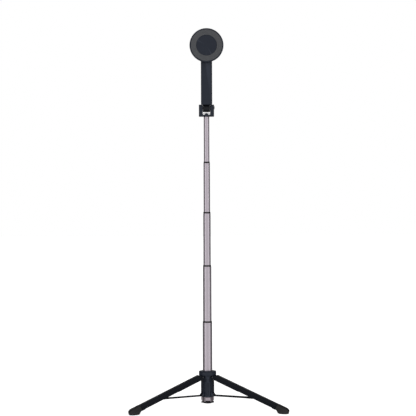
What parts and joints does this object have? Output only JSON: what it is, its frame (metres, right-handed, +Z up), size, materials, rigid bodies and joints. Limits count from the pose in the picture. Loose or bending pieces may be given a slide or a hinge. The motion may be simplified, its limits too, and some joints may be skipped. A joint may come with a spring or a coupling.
{
  "type": "selfie stick",
  "caption": "Telescopic phone stick with a magnetic disc on a tilting neck and three folding legs that make it a small tripod.",
  "frame": {"origin": "on the stick's axis, at the bottom face of the end cap", "axes": "+Z up along the stick, -Y the side that the magnetic disc faces, +X to its right seen from the front"},
  "size_m": [0.2624, 0.2283, 0.629],
  "materials": {
    "satin_tube": "satin, warm grey anodised",
    "black_plastic": "fine matt moulded",
    "dark_shell": "satin moulded",
    "dark_leg": "semi-gloss dark slate",
    "silver_trim": "satin silver",
    "steel": "bright",
    "nylon": "matt black",
    "rubber": "matt",
    "silicone": "soft matt",
    "nickel": "plated"
  },
  "bodies": {
    "base": {"hub": "dark_shell", "barrel_sleeve": "black_plastic", "trim_ring": "silver_trim", "end_cap": "black_plastic", "tube_5": "satin_tube", "collar_5": "nylon", "leg_pin_1": "steel", "leg_pin_2": "steel", "leg_pin_3": "steel", "strut_pin_1": "steel", "strut_pin_2": "steel", "strut_pin_3": "steel"},
    "stage_4": {"tube_4": "satin_tube", "collar_4": "nylon", "guide_bush_4": "nylon"},
    "stage_3": {"tube_3": "satin_tube", "collar_3": "nylon", "guide_bush_3": "nylon"},
    "stage_2": {"tube_2": "satin_tube", "collar_2": "nylon", "guide_bush_2": "nylon"},
    "stage_1": {"tube_1": "satin_tube", "guide_bush_1": "nylon", "yoke": "dark_shell", "tilt_pin": "steel", "tilt_nut": "steel", "detent_spring": "steel"},
    "arm": {"arm_back_frame": "black_plastic", "arm_front_cover": "dark_shell", "arm_screw_1": "steel", "arm_screw_2": "steel"},
    "head": {"head_back_shell": "black_plastic", "head_front_shell": "dark_shell", "magnet_pad": "silicone", "steel_shunt": "steel", "swivel_stud": "steel", "swivel_washer": "nylon", "swivel_screw": "steel", "magnet_1": "nickel", "magnet_2": "nickel", "magnet_3": "nickel", "magnet_4": "nickel", "magnet_5": "nickel", "magnet_6": "nickel"},
    "leg_1": {"leg_1": "dark_leg", "foot_1": "rubber"},
    "strut_1": {"strut_1": "black_plastic"},
    "runner_1": {"runner_1": "nylon"},
    "leg_2": {"leg_2": "dark_leg", "foot_2": "rubber"},
    "strut_2": {"strut_2": "black_plastic"},
    "runner_2": {"runner_2": "nylon"},
    "leg_3": {"leg_3": "dark_leg", "foot_3": "rubber"},
    "strut_3": {"strut_3": "black_plastic"},
    "runner_3": {"runner_3": "nylon"}
  },
  "joints": [
    {"name": "tube_4_slide", "type": "slide", "parent": "base", "child": "stage_4", "axis": [0, 0, 1], "range_m": [-0.0904, 0]},
    {"name": "tube_3_slide", "type": "slide", "parent": "stage_4", "child": "stage_3", "axis": [0, 0, 1], "range_m": [-0.0857, 0]},
    {"name": "tube_2_slide", "type": "slide", "parent": "stage_3", "child": "stage_2", "axis": [0, 0, 1], "range_m": [-0.0809, 0]},
    {"name": "tube_1_slide", "type": "slide", "parent": "stage_2", "child": "stage_1", "axis": [0, 0, 1], "range_m": [-0.0746, 0]},
    {"name": "head_tilt", "type": "hinge", "parent": "stage_1", "child": "arm", "pos_m": [0, 0, 0.4897], "axis": [-1, 0, 0], "range_deg": [-60, 135]},
    {"name": "head_swivel", "type": "hinge", "parent": "arm", "child": "head", "pos_m": [0, -0.016, 0.5912], "axis": [0, -1, 0], "continuous": true},
    {"name": "leg_1_fold", "type": "hinge", "parent": "base", "child": "leg_1", "pos_m": [-0.01022, -0.0059, 0.0433], "axis": [0.5, -0.866, 0], "range_deg": [0, 69.4]},
    {"name": "strut_1_turn", "type": "hinge", "parent": "base", "child": "strut_1", "pos_m": [-0.01039, -0.006, 0.0128], "axis": [0.5, -0.866, 0], "range_deg": [0, 90.98]},
    {"name": "runner_1_turn", "type": "hinge", "parent": "strut_1", "child": "runner_1", "pos_m": [-0.07803, -0.04505, 0.0128], "axis": [0.5, -0.866, 0], "range_deg": [-21.58, 0]},
    {"name": "leg_2_fold", "type": "hinge", "parent": "base", "child": "leg_2", "pos_m": [0.01022, -0.0059, 0.0433], "axis": [0.5, 0.866, 0], "range_deg": [0, 69.4]},
    {"name": "strut_2_turn", "type": "hinge", "parent": "base", "child": "strut_2", "pos_m": [0.01039, -0.006, 0.0128], "axis": [0.5, 0.866, 0], "range_deg": [0, 90.98]},
    {"name": "runner_2_turn", "type": "hinge", "parent": "strut_2", "child": "runner_2", "pos_m": [0.07803, -0.04505, 0.0128], "axis": [0.5, 0.866, 0], "range_deg": [-21.58, 0]},
    {"name": "leg_3_fold", "type": "hinge", "parent": "base", "child": "leg_3", "pos_m": [0, 0.0118, 0.0433], "axis": [-1, 0, 0], "range_deg": [0, 69.4]},
    {"name": "strut_3_turn", "type": "hinge", "parent": "base", "child": "strut_3", "pos_m": [0, 0.012, 0.0128], "axis": [-1, 0, 0], "range_deg": [0, 90.98]},
    {"name": "runner_3_turn", "type": "hinge", "parent": "strut_3", "child": "runner_3", "pos_m": [0, 0.0901, 0.0128], "axis": [-1, 0, 0], "range_deg": [-21.58, 0]}
  ],
  "couplings": [
    {"joint": "strut_1_turn", "follows": "leg_1_fold", "ratio": 1.3095},
    {"joint": "runner_1_turn", "follows": "leg_1_fold", "ratio": -0.30953},
    {"joint": "leg_2_fold", "follows": "leg_1_fold", "ratio": 1},
    {"joint": "strut_2_turn", "follows": "leg_1_fold", "ratio": 1.3095},
    {"joint": "runner_2_turn", "follows": "leg_1_fold", "ratio": -0.30953},
    {"joint": "leg_3_fold", "follows": "leg_1_fold", "ratio": 1},
    {"joint": "strut_3_turn", "follows": "leg_1_fold", "ratio": 1.3095},
    {"joint": "runner_3_turn", "follows": "leg_1_fold", "ratio": -0.30953}
  ]
}
